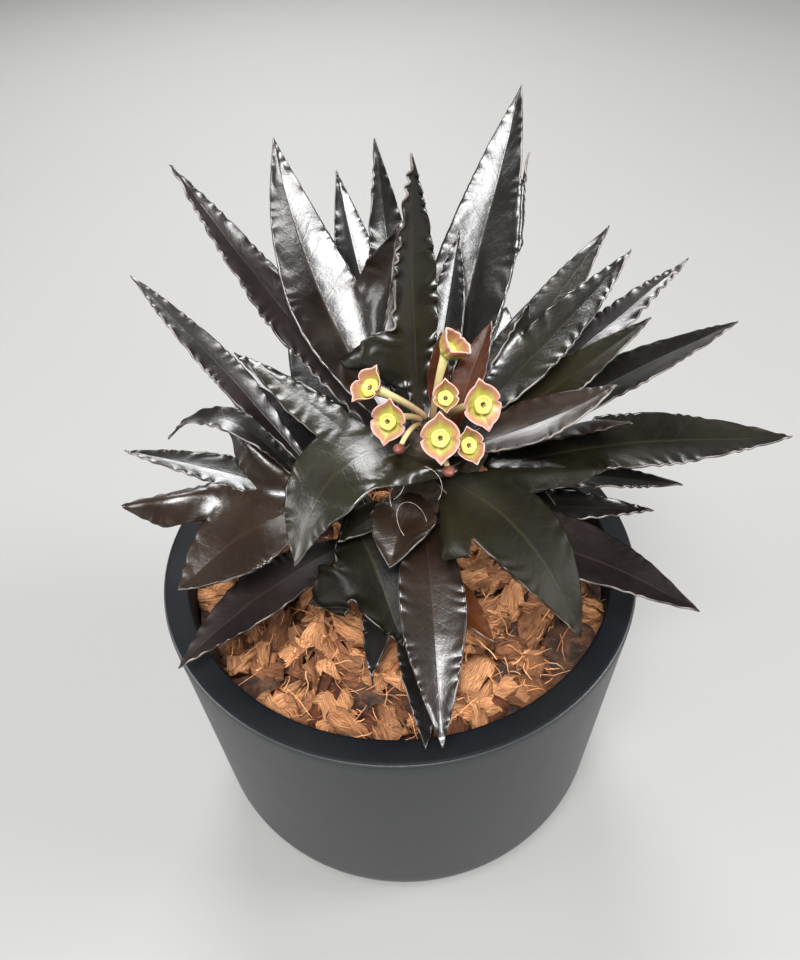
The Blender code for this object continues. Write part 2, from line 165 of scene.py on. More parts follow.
# leaf skin: noise scales per metre, the share of each effect, and the depth of its bumps in metres
skinLook = {
    "patches": 60.0, "pores": 1900.0, "swell": 240.0, "patchShare": 0.55, "toneShare": 0.9,
    "sideVeins": 95.0, "veinSlant": -9.0, "midribShare": 0.7, "sideShare": 0.16,
    "roughness": 0.18, "roughPatches": 0.16, "roughPores": 0.08,
    "bump": 0.35, "bumpDepth": 0.0006, "coatRoughness": 0.22,
}

# colour patches, veins and pores, used by every leaf finish
leafSkin, skinIn, skinOut = newGroup(
    "leafSkin",
    [("Dark", "colour", (0.02, 0.015, 0.01, 1)), ("Light", "colour", (0.06, 0.05, 0.03, 1)),
     ("Vein", "colour", (0.09, 0.07, 0.05, 1)), ("Tone", "number", 0.5), ("Margin", "number", 0.5),
     ("Along", "number", 0.5)],
    [("Color", "colour"), ("Roughness", "number"), ("Height", "number")])
skinPlace = objectPlace(leafSkin)
patches = speckle(leafSkin, skinPlace, skinLook["patches"], 4.0, 0.6)
patchy = sums(leafSkin, "MULTIPLY_ADD", remap(leafSkin, patches, 0.35, 0.68), skinLook["patchShare"], -0.22)
toned = sums(leafSkin, "MULTIPLY_ADD", skinIn.outputs["Tone"], skinLook["toneShare"], patchy)
skinColour = mixColour(leafSkin, toned, skinIn.outputs["Dark"], skinIn.outputs["Light"])
midrib = remap(leafSkin, skinIn.outputs["Margin"], 0.0, 0.07, 1.0, 0.0)
slant = sums(leafSkin, "MULTIPLY", skinIn.outputs["Margin"], skinLook["veinSlant"])
veinTurn = sums(leafSkin, "MULTIPLY_ADD", skinIn.outputs["Along"], skinLook["sideVeins"], slant)
sideVeins = remap(leafSkin, sums(leafSkin, "SINE", veinTurn), 0.9, 1.0)
veins = sums(leafSkin, "MAXIMUM", sums(leafSkin, "MULTIPLY", midrib, skinLook["midribShare"]),
             sums(leafSkin, "MULTIPLY", sideVeins, skinLook["sideShare"]))
skinColour = mixColour(leafSkin, veins, skinColour, skinIn.outputs["Vein"])
pores = speckle(leafSkin, skinPlace, skinLook["pores"], 2.0)
swell = speckle(leafSkin, skinPlace, skinLook["swell"], 3.0, 0.5)
skinRough = sums(leafSkin, "MULTIPLY_ADD", pores, skinLook["roughPores"], skinLook["roughness"])
skinRough = sums(leafSkin, "MULTIPLY_ADD", patches, skinLook["roughPatches"], skinRough)
skinHeight = sums(leafSkin, "MULTIPLY_ADD", pores, 0.12, sums(leafSkin, "MULTIPLY", veins, -0.25))
skinHeight = sums(leafSkin, "ADD", swell, skinHeight)
leafSkin.links.new(skinColour, skinOut.inputs["Color"])
leafSkin.links.new(skinRough, skinOut.inputs["Roughness"])
leafSkin.links.new(skinHeight, skinOut.inputs["Height"])


def skinMaterial(name, dark, light, vein, roughness=0.0, coat=0.1, specular=0.48, glow=0.0):
    made, tree, shader = newMaterial(name)
    skin = placeGroup(tree, leafSkin, Dark=(*dark, 1), Light=(*light, 1), Vein=(*vein, 1))
    for mark in ("Tone", "Margin", "Along"):
        tree.links.new(attribute(tree, mark.lower()), skin.inputs[mark])
    tree.links.new(skin.outputs["Color"], shader.inputs["Base Color"])
    tree.links.new(sums(tree, "ADD", skin.outputs["Roughness"], roughness), shader.inputs["Roughness"])
    tree.links.new(bump(tree, skin.outputs["Height"], skinLook["bump"], skinLook["bumpDepth"]),
                   shader.inputs["Normal"])
    shader.inputs["Coat Weight"].default_value = coat
    shader.inputs["Coat Roughness"].default_value = skinLook["coatRoughness"]
    shader.inputs["Specular IOR Level"].default_value = specular
    if glow:
        shader.inputs["Subsurface Weight"].default_value = glow
        shader.inputs["Subsurface Radius"].default_value = (1.0, 0.35, 0.1)
        shader.inputs["Subsurface Scale"].default_value = 0.003
    return made


# skin colours: the dark patches, the light patches and the veins
leafColour = {
    "olive": dict(dark=(0.0018, 0.0016, 0.0011), light=(0.01, 0.0086, 0.0032), vein=(0.016, 0.0145, 0.0055)),
    "brown": dict(dark=(0.0021, 0.0014, 0.001), light=(0.014, 0.0074, 0.0036), vein=(0.021, 0.0115, 0.006)),
    "black": dict(dark=(0.0013, 0.0011, 0.0011), light=(0.0055, 0.0046, 0.0036), vein=(0.009, 0.0075, 0.006)),
    "mauve": dict(dark=(0.0032, 0.0020, 0.0020), light=(0.0120, 0.0080, 0.0074), vein=(0.016, 0.011, 0.010)),
    "under": dict(dark=(0.006, 0.0028, 0.0022), light=(0.017, 0.009, 0.0065), vein=(0.024, 0.013, 0.010)),
    "young": dict(dark=(0.016, 0.0042, 0.0010), light=(0.066, 0.018, 0.0035), vein=(0.08, 0.030, 0.010)),
    "shoot": dict(dark=(0.02, 0.045, 0.007), light=(0.06, 0.11, 0.014), vein=(0.10, 0.14, 0.035)),
}
leafGloss = {
    "mauve": dict(roughness=0.06),
    "under": dict(roughness=0.12, coat=0.05),
    "young": dict(roughness=0.12, coat=0.0, specular=0.18, glow=0.4),
    "shoot": dict(roughness=0.1, glow=0.4),
    "dull": dict(roughness=0.16, coat=0.0, specular=0.10),
}
leafOlive = skinMaterial("leafOlive", **leafColour["olive"])
leafBrown = skinMaterial("leafBrown", **leafColour["brown"])
leafBlack = skinMaterial("leafBlack", **leafColour["black"])
leafMauve = skinMaterial("leafMauve", **leafColour["mauve"], **leafGloss["mauve"])
leafUnder = skinMaterial("leafUnder", **leafColour["under"], **leafGloss["under"])
leafYoung = skinMaterial("leafYoung", **leafColour["young"], **leafGloss["young"])
leafShoot = skinMaterial("leafShoot", **leafColour["shoot"], **leafGloss["shoot"])
leafDull = skinMaterial("leafDull", **leafColour["olive"], **leafGloss["dull"])
leafDullMauve = skinMaterial("leafDullMauve", **leafColour["mauve"], **leafGloss["dull"])


def edgeMaterial():
    # the thin margin of a leaf, dark with pale stretches: partly its own dry pale edge, partly painted
    # highlight
    made, tree, shader = newMaterial("leafEdge")
    stretch = speckle(tree, objectPlace(tree), 130.0, 2.0)
    colour = mixColour(tree, remap(tree, stretch, 0.42, 0.62), (0.016, 0.010, 0.008, 1),
                       (0.17, 0.145, 0.13, 1))
    tree.links.new(colour, shader.inputs["Base Color"])
    tree.links.new(sums(tree, "MULTIPLY_ADD", stretch, 0.3, 0.2), shader.inputs["Roughness"])
    return made


leafEdge = edgeMaterial()
print("stage: leaf finishes")


leafShape = {
    "rows": 8, "petiole": 3.0, "widen": 1.06, "thickness": 0.5,
    "profile": (0.0, 0.42, 0.78, 0.97, 1.0, 0.88, 0.66, 0.37, 0.06),    # width shares, foot to tip
    "levels": 4, "lowLevels": 3,      # of smoothing, in view and hidden at the back
    "ripple": 0.55, "rippleLength": 4.4, "rippleWander": 9.0,       # the crinkled margin, mm
    "uneven": 0.13, "wanderScale": 120,       # the outline's wander as a share, and its noise scale
    "swell": 0.55, "swellSize": 14.0,  # slow unevenness of the blade, mm
    "calm": 12.0,       # mm from the foot before the ripples are full
    "lobeRows": 3, "lobeRoot": 0.55, "lobeMiddle": 0.35, "lobeAlong": 0.3, "lobeSharp": 0.6,
    "toneLow": 0.2, "toneStep": 0.13,  # of the leaves that leafLook gives no tone
}
branches = {
    "trunk": dict(foot=(0, 0, -(plant["bedDepth"] + plant["stemDepth"])), head=(0, 2, 6), radii=(8.0, 7.5)),
    "main": dict(foot=(0, 1, -4), head=(0, 9, 43), radii=(7.5, 5.5)),
    "left": dict(foot=(184, 2, -2), head=(184, 20, 34), radii=(6.0, 4.8)),
    "right": dict(foot=(24, 2, -2), head=(24, 24, 31), radii=(6.0, 4.8)),
}


def leaf(name, on, tip, width, bow=6, sway=0, roll=0, fold=10, lobes=()):
    return dict(name=name, on=on, tip=tip, width=width, bow=bow, sway=sway, roll=roll, fold=fold,
                lobes=lobes)


def lobe(side, row, tip, bulge=3, bow=0):
    return dict(side=side, row=row, tip=tip, bulge=bulge, bow=bow)


leafTable = (
    # main head, upper
    leaf("leaf_young_back", ("main", 0.98, 72), (50, 19.5, 61), 5.5, bow=0, fold=14),
    leaf("leaf_young_right", ("main", 0.97, 16), (34, 30, 62), 8, bow=1, fold=14),
    leaf("leaf_red", ("main", 0.88, 341), (5, 55, 50), 15, bow=-2, sway=2, fold=12),
    leaf("leaf_twisted", ("main", 0.95, 112), (73, 21, 102), 12, bow=-10, sway=3, roll=15,
         fold=14, lobes=(lobe(-1, 1, (126, 22, 52), bulge=1, bow=3),)),
    leaf("leaf_twisted_back", ("main", 0.78, 107), (92, 54, 93), 14, bow=-20, sway=2, roll=20,
         fold=14),
    leaf("leaf_spear", ("main", 0.88, 85), (67, 49, 72), 10, bow=-2, fold=16),
    leaf("leaf_tall_left", ("main", 0.86, 158), (116, 63, 93), 19, bow=-10, sway=-6.6, fold=10,
         lobes=(lobe(1, 2, (81, 26, 84), bulge=0, bow=-3),)),
    leaf("leaf_olive_left", ("main", 0.96, 216), (-129, 37, 27), 21, bow=15, sway=8, fold=4,
         lobes=(lobe(1, 1, (146, 46, 48), bulge=2, bow=1),
                lobe(-1, 1, (-36, 18, 38), bulge=1, bow=3))),
    leaf("leaf_front_right", ("main", 0.8, 290), (-46, 59, 14), 20, bow=14, sway=-5, fold=4,
         lobes=(lobe(-1, 1, (-8, 53, 34), bulge=1, bow=2),
                lobe(1, 1, (-72, 33, 30), bulge=1, bow=3))),
    leaf("leaf_tall_back", ("main", 0.78, 68), (62, 79, 99), 20.5, bow=-8, sway=-2.5, roll=-12, fold=8,
         lobes=(lobe(1, 4, (58, 70, 86), bulge=1),)),
    # main head, middle
    leaf("leaf_back_spade", ("main", 0.66, 115), (101, 68, 80), 15, bow=-6, fold=10,
         lobes=(lobe(1, 3, (94, 50, 70), bulge=1),)),
    leaf("leaf_back_right_a", ("main", 0.84, 44), (39.5, 77, 69.5), 13, bow=-4, fold=10),
    leaf("leaf_back_right_b", ("main", 0.88, 22), (30, 72, 69), 14, bow=-3, fold=10,
         lobes=(lobe(-1, 2, (38, 45, 60), bulge=2, bow=1),)),
    leaf("leaf_right_upper", ("main", 0.76, 0), (20, 71, 56), 13, bow=0, fold=10),
    leaf("leaf_left_rippled", ("main", 0.78, 165), (135, 77, 88), 13, bow=-8, sway=4, fold=10),
    leaf("leaf_front_short", ("main", 0.66, 256), (-94, 29, 25), 15, bow=5, fold=8),
    leaf("leaf_inner_front", ("main", 0.54, 228), (-127, 24, 24), 9, bow=3, fold=12,
         lobes=(lobe(-1, 2, (-104, 21, 25), bulge=1),)),
    # main head, lower
    leaf("leaf_right_low", ("main", 0.48, 318), (-27, 79, 13), 19, bow=8.5, fold=10,
         lobes=(lobe(-1, 1, (-12, 38, 29), bulge=0, bow=2),)),
    leaf("leaf_front", ("main", 0.6, 278), (-83, 65, 7), 15, bow=9, fold=10),
    leaf("leaf_front_under", ("trunk", 0.98, 292), (-86, 63, 3), 12, bow=0, fold=10),
    # left head
    leaf("leaf_left_brown", ("main", 0.68, 180), (146, 50, 48), 10, bow=2, fold=10),
    leaf("leaf_left_narrow", ("left", 0.94, 140), (147, 82, 63), 9, bow=3, fold=12),
    leaf("leaf_left_arched", ("left", 0.97, 190), (166, 62, 30), 8, bow=26, fold=12),
    leaf("leaf_left", ("left", 0.78, 215), (-157, 59, 13), 25, bow=8, fold=6,
         lobes=(lobe(1, 0, (164, 44, 40), bulge=1),
                lobe(1, 3, (-177, 70, 24), bulge=3, bow=2))),
    leaf("leaf_left_under", ("left", 0.6, 170), (168, 75, 26), 11, bow=4, fold=10),
    leaf("leaf_left_low", ("left", 0.4, 240), (-143, 67, 5), 15, bow=8, fold=8),
    leaf("leaf_crinkled", ("left", 0.66, 290), (-90, 37, 6), 18, bow=5, fold=8,
         lobes=(lobe(1, 3, (-130, 34, 10), bulge=2),)),
    leaf("leaf_under_crinkled", ("trunk", 0.9, 235), (-100, 44, 2), 9, bow=4, fold=10),
    # right head
    leaf("leaf_right_long", ("right", 0.86, 345), (3, 103, 30), 21, bow=7, sway=2, fold=8,
         lobes=(lobe(-1, 1, (-4, 57, 46), bulge=0, bow=2),)),
    leaf("leaf_right_rippled", ("right", 0.96, 60), (28, 91, 62), 12, bow=1, fold=10),
    leaf("leaf_right_black", ("right", 0.96, 15), (18, 97, 50), 14, bow=3, fold=10),
    leaf("leaf_right_grey", ("right", 0.5, 335), (-5, 67, 17), 11, bow=2, fold=10),
    leaf("leaf_right_grey_back", ("right", 0.74, 350), (1, 76, 19), 10, bow=4, fold=10),
    leaf("leaf_back_low_a", ("right", 0.9, 90), (62, 78, 34), 15, bow=6, fold=8),
    leaf("leaf_back_low_b", ("right", 0.6, 120), (88, 74, 36), 14, bow=6, fold=8),
    leaf("leaf_back_low_c", ("left", 0.74, 80), (112, 74, 40), 15, bow=6, fold=8),
    leaf("leaf_back_low_d", ("left", 0.5, 120), (138, 72, 30), 14, bow=6, fold=8),
    leaf("leaf_back_low_e", ("right", 0.86, 38), (38, 80, 24), 14, bow=6, fold=8),
    leaf("leaf_at_bed", ("trunk", 0.86, 305), (-53, 39, -3), 9, bow=2, fold=14),
    leaf("leaf_shoot", ("left", 0.2, 225), (-142, 28, -5), 5, bow=1, fold=14),
)

# what differs from leaf to leaf: tone 0 is dark and 1 light, ripple is a share of the margin's ripple,
# vee and crease bend the blade at its midrib, bulge and arch fill out its side lobes
plainLeaf = dict(top=leafBlack, under=leafUnder, ripple=0.5, crease=0.12, vee=0.12, bulge=0, arch=0)
leafLook = {
    "leaf_young_back": dict(top=leafYoung, ripple=0.3),
    "leaf_young_right": dict(top=leafYoung, ripple=0.3),
    "leaf_at_bed": dict(top=leafYoung, ripple=0.2, tone=0.9),
    "leaf_shoot": dict(top=leafShoot, ripple=0.1),
    "leaf_red": dict(top=leafBrown, tone=0.75, ripple=0.3),
    "leaf_olive_left": dict(top=leafOlive, tone=0.75, ripple=0.5),
    "leaf_left": dict(top=leafBrown, tone=0.85, ripple=0.4, bulge=2, arch=5),
    "leaf_left_low": dict(top=leafDullMauve, tone=0.7, ripple=0.5),
    "leaf_left_rippled": dict(top=leafMauve, tone=0.9, ripple=1.0),
    "leaf_left_narrow": dict(top=leafMauve, tone=0.6),
    "leaf_front": dict(top=leafBrown, tone=0.5, ripple=0.5, crease=0.15),
    "leaf_front_right": dict(top=leafDull, tone=0.6, ripple=0.3, vee=0.05, bulge=2),
    "leaf_front_short": dict(top=leafBrown, tone=0.8, ripple=0.4),
    "leaf_inner_front": dict(top=leafDull, tone=0.6),
    "leaf_crinkled": dict(top=leafDull, tone=0.2, ripple=1.1, bulge=2),
    "leaf_right_rippled": dict(top=leafMauve, tone=0.4, ripple=1.0),
    "leaf_right_low": dict(top=leafDullMauve, tone=0.3, ripple=0.3, bulge=3),
    "leaf_right_black": dict(top=leafDull, tone=0.0, ripple=0.4),
    "leaf_right_upper": dict(top=leafDull, tone=0.8, ripple=0.3),
    "leaf_right_long": dict(top=leafOlive, tone=0.3, ripple=0.5),
    "leaf_back_right_a": dict(top=leafOlive, tone=0.4, ripple=0.2),
    "leaf_back_right_b": dict(top=leafOlive, tone=0.35, ripple=0.5),
    "leaf_twisted": dict(top=leafOlive, tone=0.5, ripple=1.2),
    "leaf_twisted_back": dict(tone=0.8, ripple=0.6),
    "leaf_tall_left": dict(top=leafBrown, tone=0.4, ripple=0.3, vee=0.2, crease=0.2, bulge=2),
    "leaf_tall_back": dict(tone=0.9, ripple=0.4, vee=0.18, crease=0.3),
}


def spotAt(turn, reach, rise):
    a = math.radians(turn)
    return Vector((reach * math.cos(a), reach * math.sin(a), plant["potHeight"] + rise)) * mm


def branchPoint(name, share):
    b = branches[name]
    foot, head = spotAt(*b["foot"]), spotAt(*b["head"])
    return foot.lerp(head, share), (b["radii"][0] + (b["radii"][1] - b["radii"][0]) * share) * mm


def branchAxis(name):
    return (branchPoint(name, 1.0)[0] - branchPoint(name, 0.0)[0]).normalized()


def leafFrame(plan):
    name, share, turn = plan["on"]
    centre, radius = branchPoint(name, share)
    a, axis = math.radians(turn), branchAxis(name)
    out = Vector((math.cos(a), math.sin(a), 0.0))
    out = (out - axis * out.dot(axis)).normalized()
    foot = centre + out * (radius + (plant["gap"] + plant["leafThickness"] / 2) * mm)
    tip = spotAt(*plan["tip"])
    chord = tip - foot
    side = chord.cross(Vector((0, 0, 1)))
    if side.length < 0.25 * chord.length:
        side = out.cross(Vector((0, 0, 1))) * chord.length
    side.normalize()
    lift = side.cross(chord).normalized()
    knee = foot.lerp(tip, 0.5) + lift * plan["bow"] * mm + side * plan["sway"] * mm
    return foot, knee, tip, side


def leafPoint(plan, frame, u, across):
    foot, knee, tip, side = frame
    mid = foot * (1 - u) ** 2 + knee * 2 * u * (1 - u) + tip * u * u
    along = ((knee - foot) * (1 - u) + (tip - knee) * u).normalized()
    side = (side - along * side.dot(along)).normalized()
    side = Matrix.Rotation(math.radians(plan["roll"]) * u, 3, along) @ side
    up = side.cross(along)
    profile = leafShape["profile"]
    step = u * leafShape["rows"]
    low = min(leafShape["rows"] - 1, int(step))
    share = profile[low] + (profile[low + 1] - profile[low]) * (step - low)
    half = max(leafShape["petiole"] * (1 - u) ** 2, plan["width"] * leafShape["widen"] * share) / 2 * mm
    fold = math.radians(plan["fold"])
    return mid + (side * across * math.cos(fold) + up * abs(across) * math.sin(fold)) * half


def growLobe(bm, marks, margin, plan):
    # two neighbouring margin edges are pulled out to a pointed side lobe
    marginMark, alongMark, sharpMark = marks
    current = margin[plan["row"]:plan["row"] + 3]
    starts = [v.co.copy() for v in current]
    tip = spotAt(*plan["tip"])
    spread = (starts[2] - starts[0]).normalized() * plan["bulge"] * mm
    normal = (tip - starts[1]).cross(starts[2] - starts[0]).normalized()
    if normal.z < 0:
        normal.negate()
    arch = normal * plan["bow"] * mm
    rows = leafShape["lobeRows"]
    current[1][marginMark] = leafShape["lobeRoot"]
    current[0][sharpMark] = current[2][sharpMark] = leafShape["lobeSharp"]
    for k in range(1, rows + 1):
        edges = [bm.edges.get((current[i], current[i + 1])) for i in range(2)]
        made = bmesh.ops.extrude_edge_only(bm, edges=edges)
        fresh = [g for g in made["geom"] if isinstance(g, bmesh.types.BMVert)]
        current = [min(fresh, key=lambda v, c=c: (v.co - c.co).length) for c in current]
        t = k / rows
        fullness, lift = 6.75 * t * (1 - t) ** 2, 4 * t * (1 - t)       # each is 1 at its most
        for i, (v, start) in enumerate(zip(current, starts)):
            v.co = start.lerp(tip, t) + spread * (i - 1) * fullness + arch * lift * (i == 1)
            v[marginMark] = 1.0 if i != 1 else leafShape["lobeMiddle"]
            v[alongMark] += t * leafShape["lobeAlong"]
    current[1].co = tip
    current[1][sharpMark] = 1.0
    current[1][marginMark] = 1.0
    bmesh.ops.pointmerge(bm, verts=[current[1], current[0], current[2]], merge_co=tip)


def newObject(name, bm, *materials):
    mesh = bpy.data.meshes.new(name)
    bm.to_mesh(mesh)
    bm.free()
    for finish in materials:
        mesh.materials.append(finish)
    made = bpy.data.objects.new(name, mesh)
    bpy.context.scene.collection.objects.link(made)
    return made


def evaluatedMesh(thing):
    bpy.context.view_layer.update()
    graph = bpy.context.evaluated_depsgraph_get()
    return bpy.data.meshes.new_from_object(thing.evaluated_get(graph))


def smoothCage(name, bm, levels):
    # the cage as one fine sheet, its marks carried along
    cage = newObject(name + "Cage", bm)
    finer = cage.modifiers.new("finer", "SUBSURF")
    finer.levels = finer.render_levels = levels
    fine = evaluatedMesh(cage)
    old = cage.data
    bpy.data.objects.remove(cage)
    bpy.data.meshes.remove(old)
    bm = bmesh.new()
    bm.from_mesh(fine)
    bpy.data.meshes.remove(fine)
    return bm


def buildLeaf(plan, number):
    tone = leafShape["toneLow"] + leafShape["toneStep"] * (number * 7 % 5)
    look = dict(plainLeaf, tone=tone)
    look.update(leafLook.get(plan["name"], {}))
    if look["top"] in (leafYoung, leafShoot):
        look["under"] = look["top"]
    bm = bmesh.new()
    marginMark = bm.verts.layers.float.new("margin")
    alongMark = bm.verts.layers.float.new("along")
    sharpMark = bm.verts.layers.float.new("crease_vert")
    foldMark = bm.edges.layers.float.new("crease_edge")
    marks = (marginMark, alongMark, sharpMark)
    base = leafFrame(plan)
    rows = leafShape["rows"]
    made = bmesh.ops.create_grid(bm, x_segments=2, y_segments=rows, size=1.0)
    grid = sorted(made["verts"], key=lambda v: (round(v.co.y, 4), v.co.x))
    strips = [grid[i:i + 3] for i in range(0, len(grid), 3)]
    for i, strip in enumerate(strips):
        for v, across in zip(strip, (-1, 0, 1)):
            wander = noise.noise(Vector((i * 0.9, across * 7.0, number * 3.1)))
            v.co = leafPoint(plan, base, i / rows, across * (1 + leafShape["uneven"] * wander))
            v[marginMark] = abs(across)
            v[alongMark] = i / rows
    for low, high in zip(strips, strips[1:]):
        bm.edges.get((low[1], high[1]))[foldMark] = look["crease"]
    tipVert = strips[-1][1]
    tipVert[sharpMark] = 1.0
    tipVert[marginMark] = 1.0
    edges = {-1: [strip[0] for strip in strips], 1: [strip[2] for strip in strips]}       # by side
    bmesh.ops.pointmerge(bm, verts=[tipVert, strips[-1][0], strips[-1][2]], merge_co=base[2])
    for sideLobe in plan["lobes"]:
        fuller = dict(sideLobe, bulge=sideLobe["bulge"] + look["bulge"], bow=sideLobe["bow"] + look["arch"])
        growLobe(bm, marks, edges[sideLobe["side"]], fuller)
    hidden = plan["name"].startswith("leaf_back_low")
    bm = smoothCage(plan["name"], bm, leafShape["lowLevels"] if hidden else leafShape["levels"])
    crinkle(bm, plan, look, number)
    blade = newObject(plan["name"] + "_blade", bm, look["top"], leafEdge, look["under"])
    toneMark = blade.data.attributes.new("tone", "FLOAT", "POINT")
    toneMark.data.foreach_set("value", [look["tone"]] * len(blade.data.vertices))
    blade.data.polygons.foreach_set("use_smooth", [True] * len(blade.data.polygons))
    solid = blade.modifiers.new("thickness", "SOLIDIFY")
    solid.thickness = leafShape["thickness"] * mm
    solid.offset = 0.0
    solid.material_offset_rim = 1
    solid.material_offset = 2
    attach(blade, "root")
    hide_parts(plan["name"])


def crinkle(bm, plan, look, number):
    # ripples grow towards the margin, and the whole blade is a little uneven
    marginMark = bm.verts.layers.float["margin"]
    bm.normal_update()
    seed = Vector((number * 3.7, number * 1.9, number * 5.3))
    turn = math.tau / (leafShape["rippleLength"] * mm)
    moves = []
    foot = leafFrame(plan)[0]
    for v in bm.verts:
        margin = min(1.0, max(0.0, v[marginMark]))
        away = min(1.0, (v.co - foot).length / (leafShape["calm"] * mm))
        wander = noise.noise(v.co * leafShape["wanderScale"] + seed)
        phase = (v.co - foot).length * turn + leafShape["rippleWander"] * wander + number
        rise = leafShape["ripple"] * look["ripple"] * margin ** 4 * math.sin(phase)
        rise += look["vee"] * plan["width"] / 4 * margin
        rise += leafShape["swell"] * noise.noise(v.co * (1000 / leafShape["swellSize"]) + seed)
        moves.append((v, v.normal * rise * mm * away))
    for v, move in moves:
        v.co += move


for number, plan in enumerate(leafTable):
    buildLeaf(plan, number)
print("stage: leaves")


potLook = {
    "steps": 160, "rimRound": 1.3, "rimRoundSteps": 5, "lipRound": 0.9, "lipDrop": 0.35, "underRim": 4.0,
    "recess": (30.0, 11.0, 0.8),      # of the foot: its radii and depth
    "innerHeights": (70.0, 86.0),
    # the second colour, ten times darker than the wall, is painted shade for the pot's inside and rim top
    "wallColour": (0.012, 0.0135, 0.014), "insideShadeColour": (0.0012, 0.0019, 0.003),
    "dust": (0.042, 0.044, 0.044),
}


def arc(centre, radius, start, end, steps):
    turns = [math.radians(start + (end - start) * i / steps) for i in range(steps + 1)]
    return [(centre[0] + radius * math.cos(t), centre[1] + radius * math.sin(t)) for t in turns]


def turnProfile(bm, profile, scale, steps, near):
    # a profile of (radius, height) turned all round Z, with the points that meet there made one
    line = [bm.verts.new((r * scale, 0, z * scale)) for r, z in profile]
    edges = [bm.edges.new(pair) for pair in zip(line, line[1:])]
    bmesh.ops.spin(bm, geom=line + edges, cent=(0, 0, 0), axis=(0, 0, 1), angle=math.tau, steps=steps,
                   use_merge=True)
    bmesh.ops.remove_doubles(bm, verts=bm.verts, dist=near)


def potMaterial(name, colour, dust, roughness, streak, specular):
    made, tree, shader = newMaterial(name)
    here = objectPlace(tree)
    grain = speckle(tree, here, 1500.0, 2.0)
    cloud = speckle(tree, here, 28.0, 4.0, 0.6)
    scuffs = speckle(tree, here, 160.0, 5.0, 0.7, stretch=(1.0, 1.0, 0.25))
    hazy = sums(tree, "MULTIPLY", remap(tree, cloud, 0.35, 0.75), 0.22)
    scuffed = sums(tree, "MULTIPLY", remap(tree, scuffs, 0.66, 0.8), streak)
    dusty = mixColour(tree, hazy, (*colour, 1), (*dust, 1))
    dusty = mixColour(tree, scuffed, dusty, (*dust, 1))
    tree.links.new(dusty, shader.inputs["Base Color"])
    tree.links.new(sums(tree, "MULTIPLY_ADD", cloud, 0.18, roughness), shader.inputs["Roughness"])
    shader.inputs["Specular IOR Level"].default_value = specular
    tree.links.new(bump(tree, sums(tree, "MULTIPLY_ADD", scuffs, 0.4, grain), 0.25, 0.0002),
                   shader.inputs["Normal"])
    return made


potWall = potMaterial("potWall", potLook["wallColour"], potLook["dust"],
                      roughness=0.36, streak=0.25, specular=0.55)
# this far darker finish is painted shade on the pot's inside and rim top
potShadeInsideAndTop = potMaterial("potShadeInsideAndTop", potLook["insideShadeColour"], potLook["wallColour"],
                     roughness=0.55, streak=0.3, specular=0.12)


def innerRadius(height):
    # of the pot's inner wall, at a height in millimetres
    top, low = plant["potRadius"] - plant["rimWidth"], plant["lowerRadius"] - plant["wall"]
    share = (height - plant["footRound"]) / (plant["potHeight"] - plant["footRound"])
    return low + (top - low) * min(1.0, max(0.0, share))


def buildPot():
    radius, height, low = plant["potRadius"], plant["potHeight"], plant["lowerRadius"]
    foot = plant["footRound"]
    inner = foot - plant["wall"]
    roundOff, lipRound = potLook["rimRound"], potLook["lipRound"]
    outer, island, depth = potLook["recess"]
    lip = radius - plant["rimWidth"]
    profile = arc((radius - roundOff, height - roundOff), roundOff, 90, 0, potLook["rimRoundSteps"])
    profile += [(radius - 0.1, height - potLook["underRim"])]
    profile += [(low + (radius - low) * t, foot + (height - foot) * t) for t in (0.75, 0.5, 0.25)]
    profile += arc((low - foot, foot), foot, 0, -90, 16)
    profile += [(outer, 0.0), (outer - 1.0, depth), (island + 1.0, depth), (island, 0.0)]
    profile += [(0.0, 0.0), (0.0, plant["floor"])]
    profile += arc((innerRadius(foot) - inner, plant["floor"] + inner), inner, -90, 0, 8)
    profile += [(innerRadius(rise), rise) for rise in potLook["innerHeights"]]
    profile += arc((lip + lipRound, height - lipRound), lipRound, 180, 90, 3)
    profile += [(lip + 3.4, height - 0.05), (radius - roundOff, height)]       # a rim a little dished
    bm = bmesh.new()
    turnProfile(bm, profile, mm, potLook["steps"], 0.00001)
    bmesh.ops.recalc_face_normals(bm, faces=bm.faces)
    for face in bm.faces:
        face.smooth = True
    pot = newObject("potShell", bm, potWall, potShadeInsideAndTop)
    for face in pot.data.polygons:
        centre = face.center
        reach = math.hypot(centre.x, centre.y)
        inside = reach < innerRadius(centre.z / mm) * mm + 0.0008 and centre.z > 0.004
        top = centre.z > (height - potLook["lipDrop"]) * mm
        # the inside and the rim top take the darker finish: painted shade
        face.material_index = 1 if inside or top else 0
    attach(pot, "root")
    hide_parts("pot")


buildPot()
print("stage: pot")


huskLook = {
    "chips": 330, "seed": 11, "length": (6.0, 16.0), "width": (3.5, 8.5), "height": (2.5, 6.0),
    "lowest": -16.0, "highest": -9.0,       # centres of the chips, from the rim
    "edgeHeight": 78.0, "torn": 2.76, "tornScale": 2.6,
    "fibres": 350, "strands": 5, "fibreSteps": 5, "fibreShape": (0.7, 1.0, 1.0, 0.9, 0.7, 0.3),
    # the pale streak colour is partly the chips' own frayed fibre, partly painted highlight
    "dark": (0.24, 0.058, 0.018, 1), "light": (0.96, 0.50, 0.23, 1), "frayedAndHighlight": (0.92, 0.68, 0.42, 1),
    "crumb": (0.05, 0.02, 0.01, 1), "oldest": (0.16, 0.10, 0.085, 1), "newest": (1.1, 1.08, 1.05, 1),
    # the bed's near-black colour is painted shade in the gaps between the chips; its lighter colour gives
    # brown crumbs
    "bedShade": (0.012, 0.006, 0.004, 1), "bedLight": (0.11, 0.045, 0.02, 1),
}


